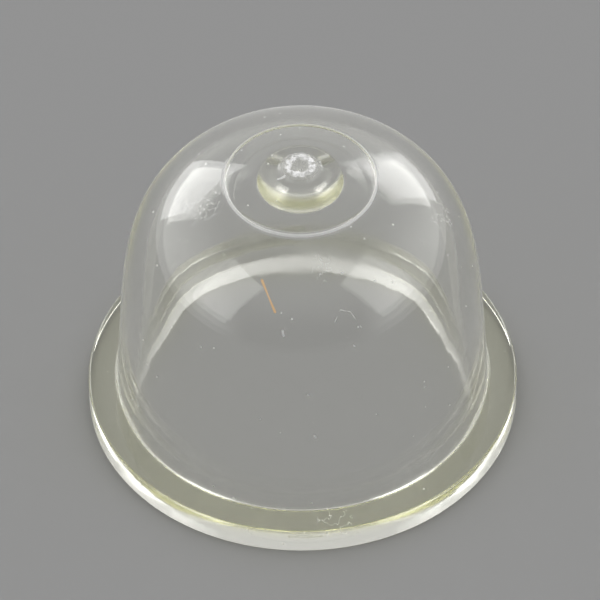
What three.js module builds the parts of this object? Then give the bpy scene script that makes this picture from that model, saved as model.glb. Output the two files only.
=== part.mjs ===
// Clear primer bulb of a small petrol engine: one moulded dome with a flat flange round its mouth.
// Millimetres, +Z up. The origin is on the bulb's axis, in the plane of the flange's underside.
import * as THREE from 'three';

// Flange round the mouth
const flangeThickness = 1.5;
const brimWidth = 1.46;
const mouthEdgeRadius = 0.1;
const flangeTopEdgeRadius = 0.15;
const flangeBottomEdgeRadius = 0.08;

// Dome: one even wall, with a drafted side that rounds over into the crown
const wall = 0.95;
const domeRootRadius = 9.54;
const domeRise = 15.5;
const domeDraft = THREE.MathUtils.degToRad(2.85);
const shoulderSquareness = 6.5;
const crownRoundness = 1.24;
const rootFilletRadius = 0.2;

// Witness line that the mould insert leaves round the crown
const witnessRingRadius = 3.88;
const witnessRingWidth = 0.14;
const witnessRingHeight = 0.05;

// Gate nub on top, where the moulding was fed, with the crater of the broken sprue
const gateHeight = 0.33;
const gateSlopeWidth = 0.4;
const gateRimWidth = 0.33;
const craterRadius = 0.45;
const craterDepth = 0.14;

// Round boss that hangs from the cavity's roof
const bossRadius = 2.13;
const bossDepth = 0.6;

// Steps of the faceted model
const stepsRound = 72;
const stepsDome = 20;
const stepsNearGate = 5;
const stepsBoss = 7;
const stepsEdge = 3;

// Places worked out from the sizes
const flangeRadius = domeRootRadius + brimWidth;
const ringOuterRadius = witnessRingRadius + witnessRingWidth / 2;
const ringInnerRadius = witnessRingRadius - witnessRingWidth / 2;
const gateRimRadius = craterRadius + gateRimWidth;
const gateBaseRadius = gateRimRadius + gateSlopeWidth;

const quarterTurn = Math.PI / 2;

// Points of a curve at even steps of its parameter, both ends included
function curvePoints(curve, from, to, steps) {
  const points = [];
  for (let step = 0; step <= steps; step += 1) {
    points.push(curve(THREE.MathUtils.lerp(from, to, step / steps)));
  }
  return points;
}

// Round arc in the section, both ends included
function circleArc(centre, radius, fromAngle, toAngle, steps) {
  const pointAt = (angle) => new THREE.Vector2(
    centre.x + radius * Math.cos(angle),
    centre.y + radius * Math.sin(angle),
  );
  return curvePoints(pointAt, fromAngle, toAngle, steps);
}

// Outside of the dome, from its root at share 0 to the axis at share 1
function domePoint(share) {
  const rise = 1 - (1 - share) ** 2;
  const sideRadius = domeRootRadius - domeRise * rise * Math.tan(domeDraft);
  const radius = sideRadius * (1 - rise ** shoulderSquareness) ** (1 / crownRoundness);
  return new THREE.Vector2(radius, flangeThickness + domeRise * rise);
}

// Inside of the dome, one wall in from the outside
function cavityPoint(share) {
  const nearby = 1e-4;
  const before = domePoint(Math.max(0, share - nearby));
  const after = domePoint(Math.min(1, share + nearby));
  const along = after.sub(before).normalize();
  const outside = domePoint(share);
  return new THREE.Vector2(outside.x - wall * along.y, outside.y + wall * along.x);
}

// Where one of the two curves comes in to a radius
function shareAtRadius(curve, radius) {
  let low = 0;
  let high = 1;
  for (let halving = 0; halving < 40; halving += 1) {
    const middle = (low + high) / 2;
    if (curve(middle).x > radius) {
      low = middle;
    } else {
      high = middle;
    }
  }
  return low;
}

// Boss under the cavity's roof: a spherical cap from the axis to its edge
function bossSection() {
  const edgeHeight = cavityPoint(shareAtRadius(cavityPoint, bossRadius)).y;
  const sphereRadius = (bossRadius ** 2 + bossDepth ** 2) / (2 * bossDepth);
  const centre = new THREE.Vector2(0, edgeHeight - bossDepth + sphereRadius);
  const edgeAngle = Math.atan2(edgeHeight - centre.y, bossRadius);
  return circleArc(centre, sphereRadius, -quarterTurn, edgeAngle, stepsBoss);
}

// Cavity from the axis down to its root
function cavitySection() {
  const bossShare = shareAtRadius(cavityPoint, bossRadius);
  return [
    ...bossSection(),
    ...curvePoints(cavityPoint, bossShare, 0, stepsDome).slice(1),
  ];
}

// Rounded mouth, flat underside, rim and flat top of the flange
function flangeSection() {
  const cavityRoot = cavityPoint(0);
  const mouthRadius = cavityRoot.x + cavityRoot.y * Math.tan(domeDraft);
  const mouthCentre = new THREE.Vector2(mouthRadius + mouthEdgeRadius, mouthEdgeRadius);
  const underCentre = new THREE.Vector2(flangeRadius - flangeBottomEdgeRadius, flangeBottomEdgeRadius);
  const topCentre = new THREE.Vector2(
    flangeRadius - flangeTopEdgeRadius,
    flangeThickness - flangeTopEdgeRadius,
  );
  return [
    ...circleArc(mouthCentre, mouthEdgeRadius, Math.PI, 3 * quarterTurn, stepsEdge),
    ...circleArc(underCentre, flangeBottomEdgeRadius, -quarterTurn, 0, stepsEdge),
    ...circleArc(topCentre, flangeTopEdgeRadius, 0, quarterTurn, stepsEdge),
  ];
}

// Fillet where the dome's side rises from the flange
function rootFilletSection() {
  const shift = rootFilletRadius * (1 - Math.sin(domeDraft)) / Math.cos(domeDraft);
  const centre = new THREE.Vector2(domeRootRadius + shift, flangeThickness + rootFilletRadius);
  return circleArc(centre, rootFilletRadius, 3 * quarterTurn, Math.PI + domeDraft, stepsEdge);
}

// Fine raised line round the crown
function witnessRingSection() {
  const ridge = domePoint(shareAtRadius(domePoint, witnessRingRadius));
  ridge.y += witnessRingHeight;
  return [
    domePoint(shareAtRadius(domePoint, ringOuterRadius)),
    ridge,
    domePoint(shareAtRadius(domePoint, ringInnerRadius)),
  ];
}

// Gate nub: a sloping side, a round rim and a shallow crater down to the axis
function gateSection() {
  const base = domePoint(shareAtRadius(domePoint, gateBaseRadius));
  const rimHeight = base.y + gateHeight;
  const shoulderHeight = rimHeight - craterDepth / 2;
  const craterHeight = rimHeight - craterDepth;
  return [
    base,
    new THREE.Vector2(gateRimRadius, shoulderHeight),
    new THREE.Vector2((craterRadius + gateRimRadius) / 2, rimHeight),
    new THREE.Vector2(craterRadius, shoulderHeight),
    new THREE.Vector2(craterRadius / 2, craterHeight),
    new THREE.Vector2(0, craterHeight),
  ];
}

// Outside of the dome from the flange up to the axis
function domeSection() {
  const fillet = rootFilletSection();
  const filletRise = (fillet.at(-1).y - flangeThickness) / domeRise;
  const sideStart = 1 - Math.sqrt(1 - filletRise);
  const ringStart = shareAtRadius(domePoint, ringOuterRadius);
  const ringEnd = shareAtRadius(domePoint, ringInnerRadius);
  const gateStart = shareAtRadius(domePoint, gateBaseRadius);
  return [
    ...fillet,
    ...curvePoints(domePoint, sideStart, ringStart, stepsDome).slice(1, -1),
    ...witnessRingSection(),
    ...curvePoints(domePoint, ringEnd, gateStart, stepsNearGate).slice(1, -1),
    ...gateSection(),
  ];
}

function bulbGeometry() {
  const section = [...cavitySection(), ...flangeSection(), ...domeSection()];
  section[0].x = 0;
  const geometry = new THREE.LatheGeometry(section, stepsRound);
  geometry.rotateX(quarterTurn);
  return geometry;
}

const clearPlastic = new THREE.MeshStandardMaterial({
  color: 0xd8d8c4,
  roughness: 0.12,
  metalness: 0,
  transparent: true,
  opacity: 0.35,
});

const primerBulb = new THREE.Mesh(bulbGeometry(), clearPlastic);
primerBulb.name = 'primer_bulb';

const part = new THREE.Group();
part.add(primerBulb);

export default part;
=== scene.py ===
# Looks of the clear primer bulb: its fine moulded form, its clear plastic, the light and the camera.
# Metres, +Z up, with the origin on the bulb's axis in the plane of the flange's underside.
import math

import bpy
from mathutils import Matrix, Vector, noise


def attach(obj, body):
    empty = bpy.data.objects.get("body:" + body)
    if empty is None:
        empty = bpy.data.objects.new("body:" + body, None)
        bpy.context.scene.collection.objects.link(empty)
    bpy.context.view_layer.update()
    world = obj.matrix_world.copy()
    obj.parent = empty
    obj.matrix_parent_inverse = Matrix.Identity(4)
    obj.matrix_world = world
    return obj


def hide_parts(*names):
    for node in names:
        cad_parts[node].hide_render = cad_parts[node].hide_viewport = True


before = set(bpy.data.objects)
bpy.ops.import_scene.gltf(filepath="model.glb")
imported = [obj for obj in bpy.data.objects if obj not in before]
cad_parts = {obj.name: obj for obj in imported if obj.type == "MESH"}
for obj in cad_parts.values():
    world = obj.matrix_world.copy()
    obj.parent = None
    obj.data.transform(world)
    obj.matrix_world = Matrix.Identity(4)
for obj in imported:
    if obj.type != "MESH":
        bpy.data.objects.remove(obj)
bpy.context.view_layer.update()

QUARTER_TURN = math.pi / 2

# Flange round the mouth
FLANGE_THICKNESS = 0.0015
BRIM_WIDTH = 0.00146
MOUTH_EDGE_RADIUS = 0.0001
FLANGE_TOP_EDGE_RADIUS = 0.00015
FLANGE_BOTTOM_EDGE_RADIUS = 0.00008

# Dome: one even wall, with a drafted side that rounds over into the crown
WALL = 0.00095
DOME_ROOT_RADIUS = 0.00954
DOME_RISE = 0.0155
DOME_DRAFT = math.radians(2.85)
SHOULDER_SQUARENESS = 6.5
CROWN_ROUNDNESS = 1.24
ROOT_FILLET_RADIUS = 0.0002

# Witness line that the mould insert leaves round the crown
RING_RADIUS = 0.00388
RING_WIDTH = 0.00014
RING_HEIGHT = 0.00005

# Gate nub on top, with the crater of the broken sprue
GATE_HEIGHT = 0.00033
GATE_SLOPE_WIDTH = 0.0004
GATE_RIM_WIDTH = 0.00033
CRATER_RADIUS = 0.00045
CRATER_DEPTH = 0.00014
GATE_TEAR = 0.00007
GATE_TEAR_SIZE = 0.0002

# Torn skin of flash on the mouth's far edge
FLASH_DEPTH = 0.00008
FLASH_SIZE = 0.0003

# Boss under the cavity's roof
BOSS_RADIUS = 0.00213
BOSS_DEPTH = 0.0006

# Fineness of the visible mesh
STEPS_ROUND = 300
STEPS_DOME = 90
STEPS_NEAR_GATE = 20
STEPS_BOSS = 24
STEPS_GATE = 6
STEPS_EDGE = 8

# Places worked out from the sizes
FLANGE_RADIUS = DOME_ROOT_RADIUS + BRIM_WIDTH
RING_OUTER_RADIUS = RING_RADIUS + RING_WIDTH / 2
RING_INNER_RADIUS = RING_RADIUS - RING_WIDTH / 2
GATE_RIM_RADIUS = CRATER_RADIUS + GATE_RIM_WIDTH
GATE_CREST_RADIUS = (CRATER_RADIUS + GATE_RIM_RADIUS) / 2
GATE_BASE_RADIUS = GATE_RIM_RADIUS + GATE_SLOPE_WIDTH

# Noise of the torn plastic: its roughness, and how much finer each of its layers is, and how many
TORN_NOISE = (0.8, 2.0, 3)

# Clear plastic. A colour is red, green, blue and alpha.
WHITE = (1.0, 1.0, 1.0, 1.0)
REFRACTIVE_INDEX = 1.5
SHEEN_WEIGHT = 0.6
SHEEN_ROUGHNESS = 0.3
CLEAR_ROUGHNESS = 0.045
WORN_ROUGHNESS = 0.15
TORN_ROUGHNESS = 0.4
PLASTIC_TINT = (0.975, 0.975, 0.87, 1.0)
PLASTIC_DENSITY = 200.0
FLOOR_LIGHT_TINT = (0.95, 0.95, 0.84, 1.0)
# Painted contact shadow: less light passes through the outer edge of the flange's underside, so the
# floor just under the rim is shaded.
CONTACT_SHADOW_TINT = (0.35, 0.35, 0.3, 1.0)
CONTACT_SHADOW_WIDTH = 0.0003

# Relief of the plastic: how wide and how high its lumps are
PEEL_SIZE = 0.0006
PEEL_HEIGHT = 0.000002
WAVE_SIZE = 0.003
WAVE_HEIGHT = 0.000010
TORN_GRAIN_SIZE = 0.00008
TORN_GRAIN_HEIGHT = 0.00003

# Heights where the crown's masks begin, and the heights over which they come in
CROWN_FLOOR = 0.0156
CROWN_FADE = 0.0002
WORN_FROM = 0.0143
WORN_FADE = 0.001

# How opaque each kind of mark is
RIM_SHARE = 0.8
GATE_SHARE = 0.08
RING_SHARE = 0.3
MARK_SHARE = 0.38
LINT_SHARE = 0.75

# Marks of wear. A place on the dome is its degrees from the camera's side to the right, and its height.
CURLED_FIBRE = ((12.5, 0.0134), (15.5, 0.0138), (19.5, 0.01364), (22, 0.0129))
FIBRE_WIDTH = 0.00005
WOBBLE_SIZE = 0.0006
WOBBLE_REACH = 0.00012
SPECKS = (
    ((-7.2, 0.0131), (-6.8, 0.0129), 0.00014),
    ((18, 0.01215), (18.4, 0.0121), 0.00012),
    ((3.6, 0.0068), (3.9, 0.0067), 0.00014),
)
GATE_FLAKE_START = Vector((-0.00115, -0.00066, 0.0168))
GATE_FLAKE_END = Vector((-0.0008, -0.00058, 0.0169))
GATE_FLAKE_WIDTH = 0.00022
LINT_START = (-19, 0.01478)
LINT_END = (-10.8, 0.01383)
LINT_WIDTH = 0.00018
LINT_COLOUR = (0.75, 0.48, 0.24, 1.0)
DUST_SIZE = 0.0013
DUST_SPECK = 0.06

# Scuffs: the place, how far the scratches reach, and how thick they are
SCUFF_SIZE = 0.0007
DOME_SCUFFS = (
    ((-79, 0.0154), 0.0016, 0.012),
    ((12, 0.0152), 0.0011, 0.008),
    ((85, 0.014), 0.0014, 0.006),
)
FLANGE_SCUFF_PLACE = Vector((0.0016, -0.01024, FLANGE_THICKNESS))
FLANGE_SCUFF_REACH = 0.0013
FLANGE_SCUFF_LINE = 0.012

# Camera, matched to the photograph's view
CAMERA_ELEVATION = math.radians(47.17)
CAMERA_ROLL = math.radians(0.67)
CAMERA_DISTANCE = 0.89
VIEW_WIDTH = 0.0309
AIM_RIGHT = -0.000144
AIM_UP = 0.00476
SENSOR_WIDTH = 36.0

# Studio light: its strength behind, before and beside the bulb, and the directions where that changes
BACK_STRENGTH = 0.64
FRONT_STRENGTH = 0.12
SKY_LEAN = 0.6
SKY_DIM_BELOW = -0.3
SKY_BRIGHT_ABOVE = 0.6
SIDE_STRENGTH = 1.1
SIDE_FROM = 0.55
SIDE_FULL = 0.95

# Softboxes: degrees from the far side to the right, degrees up, width, height and radiance
SOFTBOXES = {
    "lamp_back_left": (-41, 17, 0.28, 0.30, 3.1),
    "lamp_back_right": (36, 18, 0.23, 0.32, 3.2),
    "lamp_front_left": (-118, 34, 0.30, 0.50, 1.5),
    "lamp_front_right": (114, 36, 0.30, 0.50, 1.5),
}
LAMP_DISTANCE = 0.6
LAMP_AIM_HEIGHT = 0.008

# Plain floor under the bulb
FLOOR_GAP = 0.00003
FLOOR_SIZE = 1.2
FLOOR_GREY = 0.25
FLOOR_ROUGHNESS = 0.8


def spread(first, last, steps):
    """Numbers at even steps, both ends included."""
    return [first + (last - first) * step / steps for step in range(steps + 1)]


def circle_arc(centre, radius, first, last, steps):
    """Round arc in the section, both ends included."""
    return [
        (centre[0] + radius * math.cos(angle), centre[1] + radius * math.sin(angle))
        for angle in spread(first, last, steps)
    ]


def line(start, end, steps):
    """Straight line in the section, both ends included."""
    return list(zip(spread(start[0], end[0], steps), spread(start[1], end[1], steps)))


def curve_points(curve, first, last, steps):
    """Points of a curve at even steps of its share, both ends included."""
    return [curve(share) for share in spread(first, last, steps)]


def radius_at_rise(rise):
    """Radius of the dome's outside, from its root at rise 0 to the axis at rise 1."""
    side_radius = DOME_ROOT_RADIUS - DOME_RISE * rise * math.tan(DOME_DRAFT)
    return side_radius * (1 - rise ** SHOULDER_SQUARENESS) ** (1 / CROWN_ROUNDNESS)


def dome_point(share):
    """Radius and height on the dome's outside, from its root at share 0 to the axis at share 1."""
    rise = 1 - (1 - share) ** 2
    return radius_at_rise(rise), FLANGE_THICKNESS + DOME_RISE * rise


def cavity_point(share):
    """Radius and height on the dome's inside, one wall in from the outside."""
    nearby = 1e-4
    before = dome_point(max(0.0, share - nearby))
    after = dome_point(min(1.0, share + nearby))
    run = (after[0] - before[0], after[1] - before[1])
    length = math.hypot(*run)
    outside = dome_point(share)
    return outside[0] - WALL * run[1] / length, outside[1] + WALL * run[0] / length


def share_at_radius(curve, radius):
    """Where one of the two curves comes in to a radius."""
    low, high = 0.0, 1.0
    for _ in range(40):
        middle = (low + high) / 2
        if curve(middle)[0] > radius:
            low = middle
        else:
            high = middle
    return low


def boss_section():
    """Spherical cap from the axis to the boss's edge."""
    edge_height = cavity_point(share_at_radius(cavity_point, BOSS_RADIUS))[1]
    sphere = (BOSS_RADIUS ** 2 + BOSS_DEPTH ** 2) / (2 * BOSS_DEPTH)
    centre = (0.0, edge_height - BOSS_DEPTH + sphere)
    edge_angle = math.atan2(edge_height - centre[1], BOSS_RADIUS)
    return circle_arc(centre, sphere, -QUARTER_TURN, edge_angle, STEPS_BOSS)


def cavity_section():
    """From the axis under the crown down to the mouth."""
    boss_share = share_at_radius(cavity_point, BOSS_RADIUS)
    wall = curve_points(cavity_point, boss_share, 0, STEPS_DOME)
    root_radius, root_height = wall[-1]
    mouth_radius = root_radius + root_height * math.tan(DOME_DRAFT)
    mouth_centre = (mouth_radius + MOUTH_EDGE_RADIUS, MOUTH_EDGE_RADIUS)
    mouth = circle_arc(mouth_centre, MOUTH_EDGE_RADIUS, math.pi, 3 * QUARTER_TURN, STEPS_EDGE)
    skirt = line(wall[-1], mouth[0], STEPS_EDGE)
    return boss_section() + wall[1:] + skirt[1:-1] + mouth


def flange_section():
    """Flat underside, rim and flat top of the flange, with their rounded edges."""
    under_centre = (FLANGE_RADIUS - FLANGE_BOTTOM_EDGE_RADIUS, FLANGE_BOTTOM_EDGE_RADIUS)
    top_centre = (FLANGE_RADIUS - FLANGE_TOP_EDGE_RADIUS, FLANGE_THICKNESS - FLANGE_TOP_EDGE_RADIUS)
    lower = circle_arc(under_centre, FLANGE_BOTTOM_EDGE_RADIUS, -QUARTER_TURN, 0, STEPS_EDGE)
    upper = circle_arc(top_centre, FLANGE_TOP_EDGE_RADIUS, 0, QUARTER_TURN, STEPS_EDGE)
    return lower + upper


def root_fillet_section():
    """Fillet where the dome's side rises from the flange."""
    shift = ROOT_FILLET_RADIUS * (1 - math.sin(DOME_DRAFT)) / math.cos(DOME_DRAFT)
    centre = (DOME_ROOT_RADIUS + shift, FLANGE_THICKNESS + ROOT_FILLET_RADIUS)
    return circle_arc(centre, ROOT_FILLET_RADIUS, 3 * QUARTER_TURN, math.pi + DOME_DRAFT, STEPS_EDGE)


def ring_section():
    """Fine raised line round the crown."""
    outer = dome_point(share_at_radius(dome_point, RING_OUTER_RADIUS))
    inner = dome_point(share_at_radius(dome_point, RING_INNER_RADIUS))
    return [
        (radius, height + RING_HEIGHT * math.sin(math.pi * step / STEPS_EDGE))
        for step, (radius, height) in enumerate(line(outer, inner, STEPS_EDGE))
    ]


def gate_section():
    """Gate nub with rounded corners, from its base to the axis."""
    base = dome_point(share_at_radius(dome_point, GATE_BASE_RADIUS))
    rim_height = base[1] + GATE_HEIGHT
    shoulder_height = rim_height - CRATER_DEPTH / 2
    crater_height = rim_height - CRATER_DEPTH
    corners = [
        base,
        (GATE_RIM_RADIUS, shoulder_height),
        (GATE_CREST_RADIUS, rim_height),
        (CRATER_RADIUS, shoulder_height),
        (CRATER_RADIUS / 2, crater_height),
        (0.0, crater_height),
    ]
    points = [base]
    for start, end in zip(corners, corners[1:]):
        for share in spread(0, 1, STEPS_GATE)[1:]:
            eased = share * share * (3 - 2 * share)
            radius = start[0] + (end[0] - start[0]) * share
            height = start[1] + (end[1] - start[1]) * eased
            points.append((radius, height))
    return points


def dome_section():
    """From the flange's top up to the axis."""
    fillet = root_fillet_section()
    fillet_rise = (fillet[-1][1] - FLANGE_THICKNESS) / DOME_RISE
    side_start = 1 - math.sqrt(1 - fillet_rise)
    ring_start = share_at_radius(dome_point, RING_OUTER_RADIUS)
    ring_end = share_at_radius(dome_point, RING_INNER_RADIUS)
    gate_start = share_at_radius(dome_point, GATE_BASE_RADIUS)
    side = curve_points(dome_point, side_start, ring_start, STEPS_DOME)
    crown = curve_points(dome_point, ring_end, gate_start, STEPS_NEAR_GATE)
    return fillet + side[1:-1] + ring_section() + crown[1:-1] + gate_section()


def torn_height(x, y):
    """How far the torn plastic of the gate nub stands up or down at a place."""
    radius = math.hypot(x, y)
    fade = min(1.0, max(0.0, (GATE_BASE_RADIUS - radius) / GATE_SLOPE_WIDTH))
    place = Vector((x, y, 0.0)) / GATE_TEAR_SIZE
    return GATE_TEAR * fade * noise.fractal(place, *TORN_NOISE)


def flash_reach(x, y):
    """How far the flash stands in from the mouth's edge at a place, most on the far side."""
    far_side = max(0.0, y) / math.hypot(x, y)
    place = Vector((x, y, 0.0)) / FLASH_SIZE
    return FLASH_DEPTH * far_side * abs(noise.fractal(place, *TORN_NOISE))


def make_irregular(mesh):
    """Tear the gate nub and the mouth's edge as the real moulding is torn."""
    gate_floor = FLANGE_THICKNESS + DOME_RISE - WALL / 2
    for vertex in mesh.vertices:
        x, y, z = vertex.co
        if z > gate_floor and math.hypot(x, y) < GATE_BASE_RADIUS:
            vertex.co.z += torn_height(x, y)
        if z < MOUTH_EDGE_RADIUS / 2 and math.hypot(x, y) < DOME_ROOT_RADIUS:
            shrink = 1 - flash_reach(x, y) / math.hypot(x, y)
            vertex.co.x *= shrink
            vertex.co.y *= shrink


def lathe(name, section, steps):
    """Closed mesh of a section turned round Z. The section starts and ends on the axis."""
    rings = section[1:-1]
    vertices = [(0.0, 0.0, section[0][1])]
    for radius, height in rings:
        for step in range(steps):
            angle = 2 * math.pi * step / steps
            vertices.append((radius * math.cos(angle), radius * math.sin(angle), height))
    vertices.append((0.0, 0.0, section[-1][1]))
    top = len(vertices) - 1
    faces = []
    for step in range(steps):
        after = (step + 1) % steps
        faces.append((0, 1 + after, 1 + step))
        for ring in range(len(rings) - 1):
            low = 1 + ring * steps
            high = low + steps
            faces.append((low + step, low + after, high + after, high + step))
        last = 1 + (len(rings) - 1) * steps
        faces.append((last + step, last + after, top))
    mesh = bpy.data.meshes.new(name)
    mesh.from_pydata(vertices, [], faces)
    mesh.validate()
    mesh.polygons.foreach_set("use_smooth", [True] * len(mesh.polygons))
    piece = bpy.data.objects.new(name, mesh)
    bpy.context.scene.collection.objects.link(piece)
    return piece


def put(tree, socket, value):
    """Link a socket to a value that is a socket too, or else set it."""
    if isinstance(value, bpy.types.NodeSocket):
        tree.links.new(value, socket)
    else:
        socket.default_value = value


def calc(tree, operation, *values, clamp=False):
    """Result of a sum on numbers or sockets."""
    node = tree.nodes.new("ShaderNodeMath")
    node.operation = operation
    node.use_clamp = clamp
    for socket, value in zip(node.inputs, values):
        put(tree, socket, value)
    return node.outputs[0]


def vector_calc(tree, operation, first, second):
    """Result of a sum on two vectors, or on a vector and a number."""
    node = tree.nodes.new("ShaderNodeVectorMath")
    node.operation = operation
    put(tree, node.inputs[0], first)
    put(tree, node.inputs[3] if operation == "SCALE" else node.inputs[1], second)
    is_number = operation in {"DOT_PRODUCT", "DISTANCE"}
    return node.outputs["Value" if is_number else "Vector"]


def grain(tree, place, size, detail=2.0):
    """Noise from 0 to 1 whose lumps have a size in metres."""
    node = tree.nodes.new("ShaderNodeTexNoise")
    put(tree, node.inputs["Vector"], place)
    node.inputs["Scale"].default_value = 1 / size
    node.inputs["Detail"].default_value = detail
    return node.outputs[0]


def colour_mix(tree, share, first, second):
    """From the first colour to the second as the share goes from 0 to 1."""
    node = tree.nodes.new("ShaderNodeMix")
    node.data_type = "RGBA"
    tree.links.new(share, node.inputs["Factor"])
    put(tree, node.inputs["A"], first)
    put(tree, node.inputs["B"], second)
    return node.outputs["Result"]


def grain_vector(tree, place, size):
    """Noise vector from -0.5 to 0.5 on each axis."""
    node = tree.nodes.new("ShaderNodeTexNoise")
    put(tree, node.inputs["Vector"], place)
    node.inputs["Scale"].default_value = 1 / size
    return vector_calc(tree, "SUBTRACT", node.outputs["Color"], (0.5, 0.5, 0.5))


def ramp(tree, value, low, high, bottom=0.0, top=1.0):
    """Smooth step of a value from bottom, where it is low, to top, where it is high."""
    node = tree.nodes.new("ShaderNodeMapRange")
    node.interpolation_type = "SMOOTHSTEP"
    for name, setting in (("Value", value), ("From Min", low), ("From Max", high)):
        put(tree, node.inputs[name], setting)
    put(tree, node.inputs["To Min"], bottom)
    put(tree, node.inputs["To Max"], top)
    return node.outputs[0]


def on_dome(azimuth, height):
    """Point on the dome's outside. Azimuth is in degrees from the camera's side to the right."""
    angle = math.radians(azimuth)
    radius = radius_at_rise((height - FLANGE_THICKNESS) / DOME_RISE)
    return Vector((radius * math.sin(angle), -radius * math.cos(angle), height))


def streak(tree, place, start, end, width):
    """1 along a thin line between two points, fading out within its width."""
    along = end - start
    from_start = vector_calc(tree, "SUBTRACT", place, start)
    run = vector_calc(tree, "DOT_PRODUCT", from_start, along / along.length_squared)
    share = calc(tree, "ADD", run, 0.0, clamp=True)
    nearest = vector_calc(tree, "SCALE", along, share)
    distance = vector_calc(tree, "DISTANCE", from_start, nearest)
    return ramp(tree, distance, width / 2, width / 4)


def band(tree, value, centre, outer, inner):
    """1 where a value is within the inner distance of a centre, fading to 0 at the outer one."""
    distance = calc(tree, "ABSOLUTE", calc(tree, "SUBTRACT", value, centre))
    return ramp(tree, distance, outer, inner)


def scuff(tree, place, centre, reach, line_width):
    """Thin curling scratches within a reach of a centre."""
    distance = vector_calc(tree, "DISTANCE", place, centre)
    area = ramp(tree, distance, reach, reach / 2)
    lines = band(tree, grain(tree, place, SCUFF_SIZE, 3.0), 0.5, line_width, line_width / 3)
    return calc(tree, "MULTIPLY", area, lines)


def greatest(tree, masks):
    """The greatest of some masks at each place."""
    result = masks[0]
    for mask in masks[1:]:
        result = calc(tree, "MAXIMUM", result, mask)
    return result


def radius_and_height(tree, place):
    """Distance from the bulb's axis, and height."""
    split = tree.nodes.new("ShaderNodeSeparateXYZ")
    tree.links.new(place, split.inputs[0])
    across = vector_calc(tree, "MULTIPLY", place, (1.0, 1.0, 0.0))
    return vector_calc(tree, "DISTANCE", across, (0.0, 0.0, 0.0)), split.outputs["Z"]


def crown_masks(tree, radius, height):
    """1 on the gate nub, 1 on its rim, and 1 on the witness line."""
    above = ramp(tree, height, CROWN_FLOOR, CROWN_FLOOR + CROWN_FADE)
    gate = ramp(tree, radius, GATE_BASE_RADIUS, GATE_RIM_RADIUS)
    rim = band(tree, radius, GATE_CREST_RADIUS, GATE_RIM_WIDTH * 0.8, GATE_RIM_WIDTH * 0.3)
    ring = band(tree, radius, RING_RADIUS, RING_WIDTH * 0.9, RING_WIDTH * 0.3)
    return [calc(tree, "MULTIPLY", above, mask) for mask in (gate, rim, ring)]


def dust(tree, place):
    """Sparse specks, where the surface cuts through small balls scattered in space."""
    cells = tree.nodes.new("ShaderNodeTexVoronoi")
    tree.links.new(place, cells.inputs["Vector"])
    cells.inputs["Scale"].default_value = 1 / DUST_SIZE
    return ramp(tree, cells.outputs["Distance"], DUST_SPECK, DUST_SPECK / 2)


def fibres_and_specks(tree, place):
    """A thin curled fibre, short specks, and the flake beside the gate."""
    wobble = vector_calc(tree, "SCALE", grain_vector(tree, place, WOBBLE_SIZE), WOBBLE_REACH)
    loose = vector_calc(tree, "ADD", place, wobble)
    curl = [on_dome(*point) for point in CURLED_FIBRE]
    masks = [streak(tree, loose, start, end, FIBRE_WIDTH) for start, end in zip(curl, curl[1:])]
    for start, end, width in SPECKS:
        masks.append(streak(tree, loose, on_dome(*start), on_dome(*end), width))
    masks.append(streak(tree, loose, GATE_FLAKE_START, GATE_FLAKE_END, GATE_FLAKE_WIDTH))
    return masks


def scuffs(tree, place):
    """Patches of scratches on the dome and the flange."""
    masks = [
        scuff(tree, place, on_dome(*centre), reach, line_width)
        for centre, reach, line_width in DOME_SCUFFS
    ]
    masks.append(scuff(tree, place, FLANGE_SCUFF_PLACE, FLANGE_SCUFF_REACH, FLANGE_SCUFF_LINE))
    return masks


def fine_marks(tree, place):
    """Pale scuffs, fibres and specks on the dome and the flange."""
    return greatest(tree, fibres_and_specks(tree, place) + scuffs(tree, place) + [dust(tree, place)])


def lint(tree, place):
    """The short orange fibre on the side towards the camera."""
    return streak(tree, place, on_dome(*LINT_START), on_dome(*LINT_END), LINT_WIDTH)


def plastic_roughness(tree, place, height, torn):
    """Soft moulded gloss, worn in patches on the crown and rough where it is torn or marked."""
    patches = ramp(tree, grain(tree, place, WAVE_SIZE, 4.0), 0.35, 0.6)
    worn = calc(tree, "MULTIPLY", patches, ramp(tree, height, WORN_FROM, WORN_FROM + WORN_FADE))
    wear = ramp(tree, worn, 0.0, 1.0, CLEAR_ROUGHNESS, WORN_ROUGHNESS)
    return calc(tree, "MAXIMUM", wear, calc(tree, "MULTIPLY", torn, TORN_ROUGHNESS))


def plastic_relief(tree, place, gate):
    """Surface direction with the skin's fine peel and slow waves, and the grain of the torn gate."""
    peel = calc(tree, "MULTIPLY", grain(tree, place, PEEL_SIZE), PEEL_HEIGHT)
    waves = calc(tree, "MULTIPLY", grain(tree, place, WAVE_SIZE, 1.0), WAVE_HEIGHT)
    tears = calc(tree, "MULTIPLY", grain(tree, place, TORN_GRAIN_SIZE, 3.0), TORN_GRAIN_HEIGHT)
    relief = calc(tree, "ADD", calc(tree, "ADD", peel, waves), calc(tree, "MULTIPLY", tears, gate))
    bump = tree.nodes.new("ShaderNodeBump")
    bump.inputs["Distance"].default_value = 1.0
    tree.links.new(relief, bump.inputs["Height"])
    return bump.outputs[0]


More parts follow.
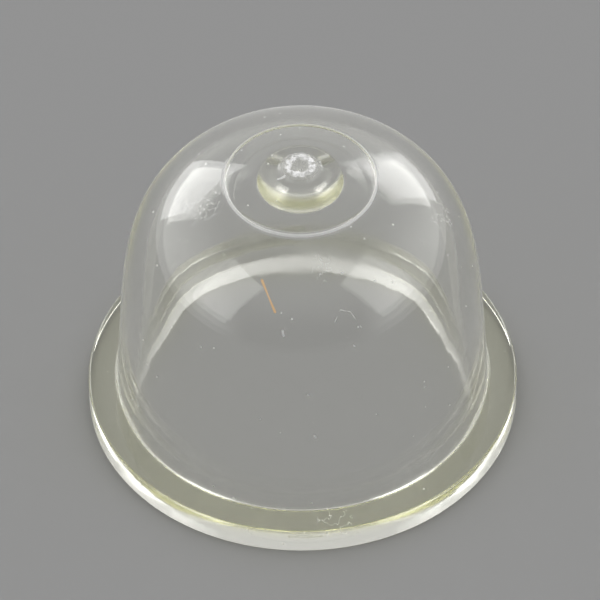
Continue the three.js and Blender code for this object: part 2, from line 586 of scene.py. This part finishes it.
def plastic_surface(tree, place, radius, height):
    """Clear skin with its wear, its marks and the fibre."""
    gate, rim, ring = crown_masks(tree, radius, height)
    marks = fine_marks(tree, place)
    fibre = lint(tree, place)
    torn = greatest(tree, [gate, ring, marks])
    patchy_rim = calc(tree, "MULTIPLY", rim, ramp(tree, grain(tree, place, GATE_TEAR_SIZE), 0.3, 0.6))
    shares = (
        (patchy_rim, RIM_SHARE),
        (gate, GATE_SHARE),
        (ring, RING_SHARE),
        (marks, MARK_SHARE),
        (fibre, LINT_SHARE),
    )
    opaque = greatest(tree, [calc(tree, "MULTIPLY", mask, share) for mask, share in shares])
    shader = tree.nodes.new("ShaderNodeBsdfPrincipled")
    shader.inputs["IOR"].default_value = REFRACTIVE_INDEX
    shader.inputs["Sheen Weight"].default_value = SHEEN_WEIGHT
    shader.inputs["Sheen Roughness"].default_value = SHEEN_ROUGHNESS
    tree.links.new(plastic_roughness(tree, place, height, torn), shader.inputs["Roughness"])
    tree.links.new(calc(tree, "SUBTRACT", 1.0, opaque), shader.inputs["Transmission Weight"])
    tree.links.new(colour_mix(tree, fibre, WHITE, LINT_COLOUR), shader.inputs["Base Color"])
    tree.links.new(plastic_relief(tree, place, gate), shader.inputs["Normal"])
    return shader.outputs["BSDF"]


def light_through(tree, radius, height):
    """Light that passes through the plastic: tinted under the flange, and darker at its outer edge as a
    painted contact shadow.
    """
    through = tree.nodes.new("ShaderNodeBsdfTransparent")
    under = ramp(tree, height, FLANGE_THICKNESS / 2, 0.0)
    outside = ramp(tree, radius, FLANGE_RADIUS - CONTACT_SHADOW_WIDTH, FLANGE_RADIUS)
    # Painted contact shadow on the floor just under the flange's outer edge
    contact_shadow = calc(tree, "MULTIPLY", under, outside)
    tinted = colour_mix(tree, under, WHITE, FLOOR_LIGHT_TINT)
    tree.links.new(colour_mix(tree, contact_shadow, tinted, CONTACT_SHADOW_TINT), through.inputs["Color"])
    return through.outputs["BSDF"]


def clear_plastic():
    """Clear, very slightly yellow polyurethane: soft moulded gloss, light wear and a torn gate."""
    material = bpy.data.materials.new("clear_plastic")
    material.use_nodes = True
    tree = material.node_tree
    tree.nodes.clear()
    output = tree.nodes.new("ShaderNodeOutputMaterial")
    place = tree.nodes.new("ShaderNodeTexCoord").outputs["Object"]
    radius, height = radius_and_height(tree, place)
    rays = tree.nodes.new("ShaderNodeLightPath")
    soft_rays = calc(tree, "MAXIMUM", rays.outputs["Is Shadow Ray"], rays.outputs["Is Diffuse Ray"])
    mix = tree.nodes.new("ShaderNodeMixShader")
    tree.links.new(soft_rays, mix.inputs[0])
    tree.links.new(plastic_surface(tree, place, radius, height), mix.inputs[1])
    tree.links.new(light_through(tree, radius, height), mix.inputs[2])
    tree.links.new(mix.outputs[0], output.inputs["Surface"])
    absorption = tree.nodes.new("ShaderNodeVolumeAbsorption")
    absorption.inputs["Color"].default_value = PLASTIC_TINT
    absorption.inputs["Density"].default_value = PLASTIC_DENSITY
    tree.links.new(absorption.outputs[0], output.inputs["Volume"])
    return material


def build_bulb():
    """The one moulding, standing for the one solid of the frame."""
    section = cavity_section() + flange_section() + dome_section()
    bulb = lathe("primer_bulb_moulding", section, STEPS_ROUND)
    make_irregular(bulb.data)
    bulb.data.materials.append(clear_plastic())
    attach(bulb, "root")
    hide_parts("primer_bulb")


def build_floor():
    """Plain floor just under the bulb, which isn't part of it."""
    half = FLOOR_SIZE / 2
    mesh = bpy.data.meshes.new("floor")
    corners = [(-half, -half), (half, -half), (half, half), (-half, half)]
    mesh.from_pydata([(x, y, -FLOOR_GAP) for x, y in corners], [], [(0, 1, 2, 3)])
    floor = bpy.data.objects.new("floor", mesh)
    bpy.context.scene.collection.objects.link(floor)
    material = bpy.data.materials.new("floor")
    material.use_nodes = True
    shader = material.node_tree.nodes["Principled BSDF"]
    shader.inputs["Base Color"].default_value = (FLOOR_GREY, FLOOR_GREY, FLOOR_GREY, 1.0)
    shader.inputs["Roughness"].default_value = FLOOR_ROUGHNESS
    mesh.materials.append(material)


def softbox(name, azimuth, elevation, width, height, radiance):
    """Square lamp facing the bulb. Azimuth is in degrees from the far side to the right."""
    turn = math.radians(azimuth)
    lift = math.radians(elevation)
    towards = Vector((math.sin(turn) * math.cos(lift), math.cos(turn) * math.cos(lift), math.sin(lift)))
    data = bpy.data.lights.new(name, "AREA")
    data.shape = "RECTANGLE"
    data.size = width
    data.size_y = height
    data.energy = radiance * math.pi * width * height
    lamp = bpy.data.objects.new(name, data)
    lamp.location = Vector((0.0, 0.0, LAMP_AIM_HEIGHT)) + towards * LAMP_DISTANCE
    lamp.rotation_euler = towards.to_track_quat("Z", "Y").to_euler()
    bpy.context.scene.collection.objects.link(lamp)


def build_sky():
    """Even light: bright overhead, behind and beside the bulb, and dim behind the camera."""
    world = bpy.data.worlds.new("studio")
    world.use_nodes = True
    tree = world.node_tree
    split = tree.nodes.new("ShaderNodeSeparateXYZ")
    tree.links.new(tree.nodes.new("ShaderNodeTexCoord").outputs["Generated"], split.inputs[0])
    leaning = calc(tree, "MULTIPLY_ADD", split.outputs["Y"], SKY_LEAN, split.outputs["Z"])
    strength = ramp(tree, leaning, SKY_DIM_BELOW, SKY_BRIGHT_ABOVE, FRONT_STRENGTH, BACK_STRENGTH)
    across = calc(tree, "ABSOLUTE", split.outputs["X"])
    sideways = ramp(tree, across, SIDE_FROM, SIDE_FULL, 0.0, SIDE_STRENGTH)
    strength = calc(tree, "ADD", strength, sideways)
    tree.links.new(strength, tree.nodes["Background"].inputs["Strength"])
    tree.nodes["Background"].inputs["Color"].default_value = WHITE
    bpy.context.scene.world = world


def build_lights():
    """The softboxes and the even light around them."""
    for name, setting in SOFTBOXES.items():
        softbox(name, *setting)
    build_sky()


def build_camera():
    """Camera at the photograph's angle: a long lens, with the slight roll of the picture."""
    back = Vector((0.0, -math.cos(CAMERA_ELEVATION), math.sin(CAMERA_ELEVATION)))
    level_right = Vector((1.0, 0.0, 0.0))
    level_up = back.cross(level_right)
    right = level_right * math.cos(CAMERA_ROLL) - level_up * math.sin(CAMERA_ROLL)
    up = level_up * math.cos(CAMERA_ROLL) + level_right * math.sin(CAMERA_ROLL)
    data = bpy.data.cameras.new("camera")
    data.sensor_width = SENSOR_WIDTH
    data.lens = SENSOR_WIDTH * CAMERA_DISTANCE / VIEW_WIDTH
    data.clip_start = 0.01
    data.clip_end = 10.0
    camera = bpy.data.objects.new("camera", data)
    place = right * AIM_RIGHT + up * AIM_UP + back * CAMERA_DISTANCE
    camera.matrix_world = Matrix.Translation(place) @ Matrix((right, up, back)).transposed().to_4x4()
    bpy.context.scene.collection.objects.link(camera)
    bpy.context.scene.camera = camera


bpy.context.scene.view_settings.view_transform = "Standard"
# Light bounces many times between clear walls before it leaves them
cycles = bpy.context.scene.cycles
cycles.max_bounces = 64
cycles.glossy_bounces = 32
cycles.transmission_bounces = 64
cycles.transparent_max_bounces = 32
build_camera()
build_bulb()
build_floor()
build_lights()
